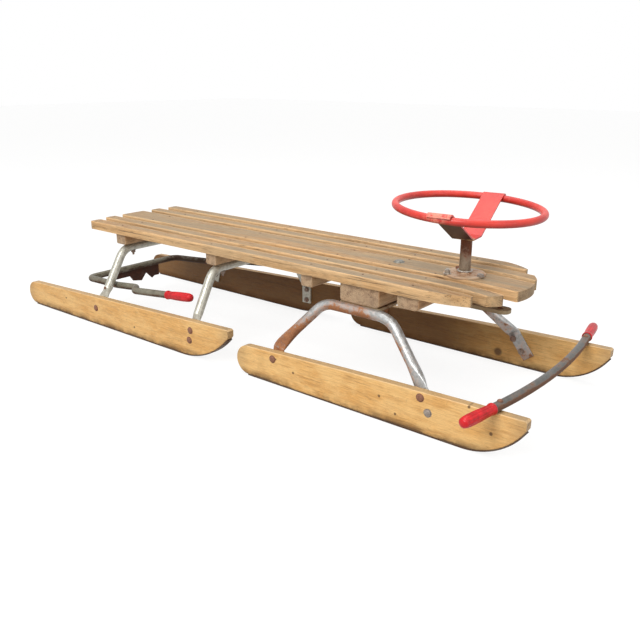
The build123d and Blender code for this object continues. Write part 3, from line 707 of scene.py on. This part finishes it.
def make_grip(name, body, reach):
    """A moulded handle: collar, waist, fluted barrel and rounded end, hollow for its tube.
    reach tells its inner end, which has the lower value, from its outer one."""
    ends, radius = straight_line(name)
    inner, outer = sorted(ends, key=reach)
    run = (outer - inner).normalized()
    length = (outer - inner).length
    across = run.cross(Vector((0, 0, 1))).normalized()
    lift = across.cross(run)
    flutes, around = 9, 72
    bore, end_wall, flute_depth = tube_radius + 0.00015, 0.004, 0.0011
    vertices = []

    def ring(distance, reach, depth=0.0):
        for number in range(around):
            angle = 2 * math.pi * number / around
            groove = max(0.0, math.cos(angle * flutes)) ** 2
            span = reach - depth * groove
            turned = across * (math.cos(angle) * span) + lift * (math.sin(angle) * span)
            vertices.append(inner + run * distance + turned)

    bottom = length - end_wall
    ring(bottom, bore)
    ring(0.0, bore)
    for share, width in grip_profile:
        fluted = min(1.0, max(0.0, (share - 0.09) / 0.08)) * min(1.0, max(0.0, (0.97 - share) / 0.10))
        ring(share * length, radius * width, flute_depth * fluted)
    rings = len(vertices) // around
    faces = ring_faces(rings, around)
    vertices.append(inner + run * bottom)
    faces.extend((rings * around, (number + 1) % around, number) for number in range(around))
    vertices.append(outer)
    top = (rings - 1) * around
    faces.extend((rings * around + 1, top + number, top + (number + 1) % around) for number in range(around))
    stand_in(name, "moulding", body, vertices, faces)


for hand in ("right", "left"):
    make_grip(f"foot_grip_{hand}", "front_truck", lambda spot: abs(spot.y))
    make_grip(f"brake_grip_{hand}", "brake", lambda spot: spot.x)


# -------------------- fasteners
sizes = ("Washer radius", "Washer height", "Head radius", "Head height", "Stub radius", "Stub height")


class Grower(Tree):
    """A geometry node group with named numbers and a finish, that grows a plain mesh from a seed."""

    def __init__(self, name, numbers):
        self.group = bpy.data.node_groups.new(name, "GeometryNodeTree")
        super().__init__(self.group)
        sockets = self.group.interface
        sockets.new_socket("Geometry", in_out="INPUT", socket_type="NodeSocketGeometry")
        for label in numbers:
            sockets.new_socket(label, in_out="INPUT", socket_type="NodeSocketFloat")
        sockets.new_socket("Finish", in_out="INPUT", socket_type="NodeSocketMaterial")
        sockets.new_socket("Geometry", in_out="OUTPUT", socket_type="NodeSocketGeometry")
        self.given = self.make("NodeGroupInput").outputs

    def close(self, geometry):
        real = self.make("GeometryNodeRealizeInstances", {}, {"Geometry": geometry})
        finished = self.make("GeometryNodeSetMaterial", {}, {
            "Geometry": real.outputs[0], "Material": self.given["Finish"]})
        self.make("NodeGroupOutput", {}, {"Geometry": finished.outputs[0]})

    def grow(self, mesh, values, body, slot, turn_out=False):
        """Runs the group on a seed mesh and keeps what it makes, under the seed's name."""
        piece = put(mesh.name, mesh)
        modifier = piece.modifiers.new("grown", "NODES")
        modifier.node_group = self.group
        sockets = {item.name: item.identifier for item in self.group.interface.items_tree
                   if item.in_out == "INPUT"}
        for label, value in values.items():
            modifier[sockets[label]] = value
        graph = bpy.context.evaluated_depsgraph_get()
        made = bpy.data.meshes.new_from_object(piece.evaluated_get(graph), preserve_all_data_layers=True,
                                               depsgraph=graph)
        piece.modifiers.remove(modifier)
        piece.data = made
        if not made.materials:
            made.materials.append(values["Finish"])
        if turn_out:
            outward(piece)
        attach(piece, body)


class Sprinkler(Grower):
    """Geometry nodes that stand one fastener on every vertex, facing and spun as its vertex says."""

    def __init__(self, name, domed, sides):
        super().__init__(name, sizes)
        washer = self.disc(16, "Washer radius", "Washer height", 0.0)
        raised = Value(self, self.given["Washer height"])
        head = self.dome(raised) if domed else self.disc(sides, "Head radius", "Head height", raised)
        stub = self.disc(12, "Stub radius", "Stub height", raised + Value(self, self.given["Head height"]))
        joined = self.make("GeometryNodeJoinGeometry")
        for part in (washer, head, stub):
            self.tree.links.new(part, joined.inputs[0])
        facing = self.named("facing", "FLOAT_VECTOR")
        stood = self.make("FunctionNodeAlignRotationToVector", {"axis": "Z"}, {"Vector": facing})
        spin = self.named("spin", "FLOAT")
        spun = self.make("FunctionNodeAxisAngleToRotation", {}, {"Axis": (0, 0, 1), "Angle": spin})
        both = self.make("FunctionNodeRotateRotation", {"rotation_space": "LOCAL"},
                         {"Rotation": stood.outputs[0], "Rotate By": spun.outputs[0]})
        placed = self.make("GeometryNodeInstanceOnPoints", {}, {
            "Points": self.given["Geometry"], "Instance": joined.outputs[0], "Rotation": both.outputs[0]})
        self.close(placed.outputs[0])

    def named(self, name, kind):
        return self.make("GeometryNodeInputNamedAttribute", {"data_type": kind}, {"Name": name}).outputs[0]

    def disc(self, sides, radius, height, base):
        deep = Value(self, self.given[height])
        made = self.make("GeometryNodeMeshCylinder", {}, {
            "Vertices": sides, "Radius": self.given[radius], "Depth": deep})
        rise = self.make("ShaderNodeCombineXYZ", {}, {"Z": deep * 0.5 + base})
        return self.make("GeometryNodeTransform", {}, {
            "Geometry": made.outputs["Mesh"], "Translation": rise.outputs[0]}).outputs[0]

    def dome(self, base):
        """The upper half of a ball, pressed flat, with its lower half laid against the seat."""
        ball = self.make("GeometryNodeMeshUVSphere", {}, {"Segments": 16, "Rings": 8, "Radius": 1.0})
        position = self.make("GeometryNodeInputPosition").outputs[0]
        place = self.make("ShaderNodeSeparateXYZ", {}, {"Vector": position})
        width, height = Value(self, self.given["Head radius"]), Value(self, self.given["Head height"])
        x, y, z = (Value(self, place.outputs[axis]) for axis in "XYZ")
        spot = self.make("ShaderNodeCombineXYZ", {}, {
            "X": x * width, "Y": y * width, "Z": z.highest(0.0) * height + base})
        shaped = self.make("GeometryNodeSetPosition", {}, {
            "Geometry": ball.outputs["Mesh"], "Position": spot.outputs[0]})
        return self.make("GeometryNodeSetShadeSmooth", {}, {"Geometry": shaped.outputs[0]}).outputs[0]

    def run(self, name, body, spots, finish, slot, values):
        """spots are (place, facing, spin, rust) in metres and turns; values follow the sizes."""
        mesh = bpy.data.meshes.new(name)
        mesh.from_pydata([spot[0] for spot in spots], [], [])
        layers = (("facing", "FLOAT_VECTOR", "vector", 1), ("spin", "FLOAT", "value", 2),
                  ("rust", "FLOAT", "value", 3))
        for label, kind, field, number in layers:
            layer = mesh.attributes.new(label, kind, "POINT")
            for item, spot in zip(layer.data, spots):
                setattr(item, field, spot[number])
        self.grow(mesh, {**dict(zip(sizes, values)), "Finish": finish}, body, slot)


def at(station, y, z):
    """A place from a station in millimetres along the sled, and its y and z in millimetres."""
    return ((station - half_length) * MM, y * MM, z * MM)


bolt_tones = ((172, 164, 154), (130, 118, 110), (160, 112, 88), (98, 66, 52))
nail_tones = ((112, 92, 72), (84, 66, 50), (96, 62, 42), (50, 34, 26))
bright_tones = ((206, 200, 190), (150, 142, 132), (150, 104, 78), (90, 62, 48))
bolt_steel = rusted("bolt_heads", 3, bolt_tones, rust=0.45, metal=0.3, smooth=0.45, spots=160, own=True)
nail_steel = rusted("nail_heads", 5, nail_tones, rust=0.6, metal=0.2, smooth=0.6, spots=200, own=True)
round_heads = Sprinkler("round_heads", True, 16)
hex_nuts = Sprinkler("hex_nuts", False, 6)
square_nuts = Sprinkler("square_nuts", False, 4)

# station, height and rust of each bolt through a runner
rear_bolts = ((351, 50, 0.6), (752, 72, 0.75), (747, 45, 0.7))
front_bolts = ((1027, 62, 0.75), (1423, 80, 0.85), (1442, 52, 0.25))
far_rear_bolts = ((351, 50, 0.6), (746, 72, 0.75), (745, 40, 0.7))
far_front_bolts = ((1024, 62, 0.75), (1413, 71, 0.6), (1436, 43, 0.5))
strap_thickness = 5.0


def fit_runner(end, body, near, far):
    """Round bolt heads on a pair of runners' outer faces, and nuts on the straps inside."""
    heads, nuts = [], []
    for hand, side, bolts in (("right", -1, near), ("left", 1, far)):
        low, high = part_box(f"{end}_runner_{hand}")
        outer = (low.y if side < 0 else high.y) / MM
        inner = (high.y if side < 0 else low.y) / MM - side * strap_thickness
        for number, (station, z, rust) in enumerate(bolts):
            heads.append((at(station, outer - side * 0.6, z), (0, side, 0), number * 0.7, rust))
            nuts.append((at(station, inner + side * 0.3, z), (0, -side, 0), number * 0.9 + 0.2, 0.55))
    round_heads.run(f"{end}_runner_bolt_heads", body, heads, bolt_steel, "rusty_steel",
                    (0.0093, 0.0012, 0.0080, 0.0032, 0.001, 0.0002))
    hex_nuts.run(f"{end}_runner_bolt_nuts", body, nuts, bolt_steel, "rusty_steel",
                 (0.0080, 0.0012, 0.0064, 0.0044, 0.0030, 0.0022))


fit_runner("rear", "sled", rear_bolts, far_rear_bolts)
fit_runner("front", "front_truck", front_bolts, far_front_bolts)


def nail_deck():
    """A nail where each narrow slat crosses a batten or the bolster, two in the wide slat."""
    sunk, narrowest_wide = 0.0004, 0.06
    spots = []
    slats = [name for name in sorted(nodes) if name.startswith("deck_slat")]
    for batten in ("batten_rear", "batten_second", "batten_third", "bolster", "batten_front"):
        low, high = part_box(batten)
        middle = (low.x + high.x) / 2
        for slat in slats:
            start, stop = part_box(slat)
            wide = stop.y - start.y > narrowest_wide
            for share in ((0.14, 0.86) if wide else (0.5,)):
                x = middle + random.uniform(-0.008, 0.008)
                y = start.y + (stop.y - start.y) * share + random.uniform(-0.004, 0.004)
                spin, rust = random.uniform(0, 3), random.uniform(0.4, 0.8)
                spots.append(((x, y, deck_top - sunk), (0, 0, 1), spin, rust))
    round_heads.run("deck_nail_heads", "sled", spots, nail_steel, "rusty_steel",
                    (0.0030, 0.0002, 0.0029, 0.0008, 0.001, 0.0001))


nail_deck()


def bolt_flange():
    """A hex nut and two square ones hold the flange, and a square plate lies on the kingpin."""
    middle = record_joint("wheel_turn")[0]
    flange_rise = 0.0038
    seat = deck_top + flange_rise
    hex_nuts.run("flange_hex_nut", "sled", [((middle - 0.024, -0.033, seat), (0, 0, 1), 0.3, 0.1)],
                 bright_steel, "rusty_steel", (0.0085, 0.0014, 0.0066, 0.0078, 0.0036, 0.0024))
    square_nuts.run("flange_square_nuts", "sled",
                    [((middle - 0.025, 0.023, seat), (0, 0, 1), 0.5, 0.75),
                     ((middle + 0.042, -0.007, seat), (0, 0, 1), 0.9, 0.2)],
                    bolt_steel, "rusty_steel", (0.0085, 0.0006, 0.0084, 0.0042, 0.0030, 0.0010))
    king = record_joint("truck_turn")[0]
    square_nuts.run("kingpin_square", "sled", [((king, 0.0, deck_top + 0.0001), (0, 0, 1), math.pi / 4, 0.1)],
                    dull_steel, "rusty_steel", (0.0118, 0.0004, 0.0134, 0.0018, 0.0030, 0.0003))


def bolt_crossings():
    """Bolt ends and nuts under the arches, where the battens are held, and heads on the foot bar."""
    hanging = []
    reach, tube_diameter = 0.118, 0.024
    for arch, batten in (("rear_arch_back", "batten_rear"), ("rear_arch_front", "batten_second")):
        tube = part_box(arch)[1].z - tube_diameter
        start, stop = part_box(batten)
        for side in (-1, 1):
            hanging.append((((start.x + stop.x) / 2, side * reach, tube + 0.0006), (0, 0, -1), 0.4, 0.6))
    hex_nuts.run("arch_bolt_ends", "sled", hanging, bolt_steel, "rusty_steel",
                 (0.0074, 0.0014, 0.0066, 0.0054, 0.0032, 0.0070))
    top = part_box("foot_bar")[1].z
    heads = [(at(1584.1, side * 226, top / MM - 0.7), (0, 0, 1), 0.0, 0.8) for side in (-1, 1)]
    round_heads.run("foot_bar_bolt_heads", "front_truck", heads, bolt_steel, "rusty_steel",
                    (0.0058, 0.0012, 0.0050, 0.0028, 0.001, 0.0002))


bright_steel = rusted("bright_nut", 8, bright_tones, rust=0.2, metal=0.6, smooth=0.32, spots=160)
dull_steel = rusted("kingpin_square", 9, grey_steel, rust=0.2, metal=0.4, smooth=0.45, spots=140)
bolt_flange()
bolt_crossings()


# -------------------- welds
class Welder(Grower):
    """Geometry nodes that lay a lumpy bead along the edges of a mesh."""

    def __init__(self):
        super().__init__("weld_bead", ("Radius", "Lumps", "Seed"))
        given = self.given
        line = self.make("GeometryNodeMeshToCurve", {}, {"Mesh": given["Geometry"]})
        even = self.make("GeometryNodeResampleCurve", {"mode": "LENGTH"}, {
            "Curve": line.outputs[0], "Length": 0.0016})
        noise = self.make("ShaderNodeTexNoise", {"noise_dimensions": "4D"}, {
            "Vector": self.make("GeometryNodeInputPosition").outputs[0], "W": given["Seed"], "Scale": 260.0})
        lumps = (Value(self, noise.outputs[0]) - 0.5) * 2.4 * Value(self, given["Lumps"]) + 1
        profile = self.make("GeometryNodeCurvePrimitiveCircle", {}, {"Resolution": 7, "Radius": 1.0})
        radius = lumps.highest(0.35) * Value(self, given["Radius"])
        thick = self.make("GeometryNodeSetCurveRadius", {}, {"Curve": even.outputs[0], "Radius": radius})
        bead = self.make("GeometryNodeCurveToMesh", {}, {
            "Curve": thick.outputs[0], "Profile Curve": profile.outputs[0], "Fill Caps": True})
        if "Scale" in bead.inputs:
            self.feed(bead.inputs["Scale"], radius)
        smooth = self.make("GeometryNodeSetShadeSmooth", {}, {"Geometry": bead.outputs[0]})
        self.close(smooth.outputs[0])

    def run(self, name, body, paths, radius, finish, slot):
        """paths are lists of places in metres; a path whose ends meet is a ring."""
        vertices, edges = [], []
        for path in paths:
            first = len(vertices)
            ring = (Vector(path[0]) - Vector(path[-1])).length < 1e-6
            vertices.extend(path[:-1] if ring else path)
            last = len(vertices) - 1
            edges.extend((number, number + 1) for number in range(first, last))
            if ring:
                edges.append((last, first))
        mesh = bpy.data.meshes.new(name)
        mesh.from_pydata(vertices, edges, [])
        values = {"Radius": radius, "Lumps": 0.8, "Seed": 3.0, "Finish": finish}
        self.grow(mesh, values, body, slot, turn_out=True)


def circle(centre, radius, count=24):
    """A closed level ring of places."""
    turns = [2 * math.pi * number / count for number in range(count)]
    spots = [(centre[0] + radius * math.cos(turn), centre[1] + radius * math.sin(turn), centre[2])
             for turn in turns]
    return spots + [spots[0]]


def lay_welds():
    """Beads along the truck plate, round the column's top and its flange, and under the brake bar."""
    welder = Welder()
    weld_steel = rusted("weld", 11, brown_steel, rust=0.6, metal=0.2, smooth=0.55, spots=150)
    low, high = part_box("truck_plate")
    seam, margin = 0.1512, 0.012
    stations = np.linspace(low.x + margin, high.x - margin, 12).tolist()
    paths = [[(x, side * seam, low.z - 0.0004) for x in stations] for side in (-1, 1)]
    welder.run("truck_plate_welds", "front_truck", paths, 0.0026, weld_steel, "rusty_steel")
    middle = record_joint("wheel_turn")[0]
    column_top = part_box("steering_column")[1].z - 0.0008
    welder.run("column_welds", "steering", [circle((middle, 0.0, column_top), 0.0128)], 0.0022,
               weld_steel, "rusty_steel")
    collar_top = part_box("column_flange")[1].z - 0.0012
    welder.run("flange_weld", "sled", [circle((middle, 0.0, collar_top), 0.0152)], 0.0021,
               bright_steel, "rusty_steel")
    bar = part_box("brake_blade")
    weld_height, half_bead, back = 0.0905, 0.010, bar[0].x - 0.0006
    spots = np.linspace(bar[0].y + margin, bar[1].y - margin, 5).tolist()
    paths = [[(back, y - half_bead, weld_height), (back, y + half_bead, weld_height)] for y in spots]
    welder.run("blade_welds", "brake", paths, 0.0022, weld_steel, "rusty_steel")


lay_welds()


# -------------------- studio
def lay_floor():
    """A pale floor that reads as white paper where nothing shades it."""
    reach = 14.0
    corners = [(-reach, -reach, 0), (reach, -reach, 0), (reach, reach, 0), (-reach, reach, 0)]
    floor = mesh_piece("studio_floor", corners, [(0, 1, 2, 3)], smooth=False)
    finish = Finish("studio_floor")
    seen = seen_ray(finish)
    paper = finish.even(3)
    bright = finish.mix(paper, srgb(112, 112, 111), srgb(116, 116, 115))
    finish.set(Base_Color=finish.mix(seen, srgb(172, 168, 162), bright), Roughness=0.9)
    finish.set(Emission_Color=finish.mix(seen, (0, 0, 0, 1), (1, 1, 1, 1)), Emission_Strength=0.84)
    floor.data.materials.append(finish.material)


def seen_ray(tree):
    """1 where the surface is looked at, mirrored or seen through, 0 where it only lends light."""
    path = tree.make("ShaderNodeLightPath")
    seen = Value(tree, path.outputs["Is Camera Ray"]).highest(Value(tree, path.outputs["Is Glossy Ray"]))
    return seen.highest(Value(tree, path.outputs["Is Transmission Ray"]))


def light_studio():
    """A white world that lends little light, and three soft lamps above."""
    world = bpy.data.worlds.new("studio")
    scene.world = world
    world.use_nodes = True
    tree = Tree(world.node_tree)
    background = world.node_tree.nodes["Background"]
    background.inputs["Color"].default_value = (1, 1, 1, 1)
    lent = 0.34
    tree.feed(background.inputs["Strength"], seen_ray(tree) * (1.0 - lent) + lent)
    lamps = [("key", (0.4, -3.2, 2.8), 2.2, 132.0), ("top", (0.0, 0.3, 3.6), 3.0, 74.0),
             ("fill", (3.4, -0.4, 1.8), 2.2, 26.0)]
    for name, spot, size, power in lamps:
        data = bpy.data.lights.new(name, "AREA")
        data.shape = "SQUARE"
        data.size = size
        data.energy = power
        lamp = put(name, data)
        lamp.location = spot
        lamp.rotation_euler = (Vector((0, 0, 0.15)) - Vector(spot)).to_track_quat("-Z", "Y").to_euler()


lay_floor()
light_studio()
scene.view_settings.view_transform = "Standard"
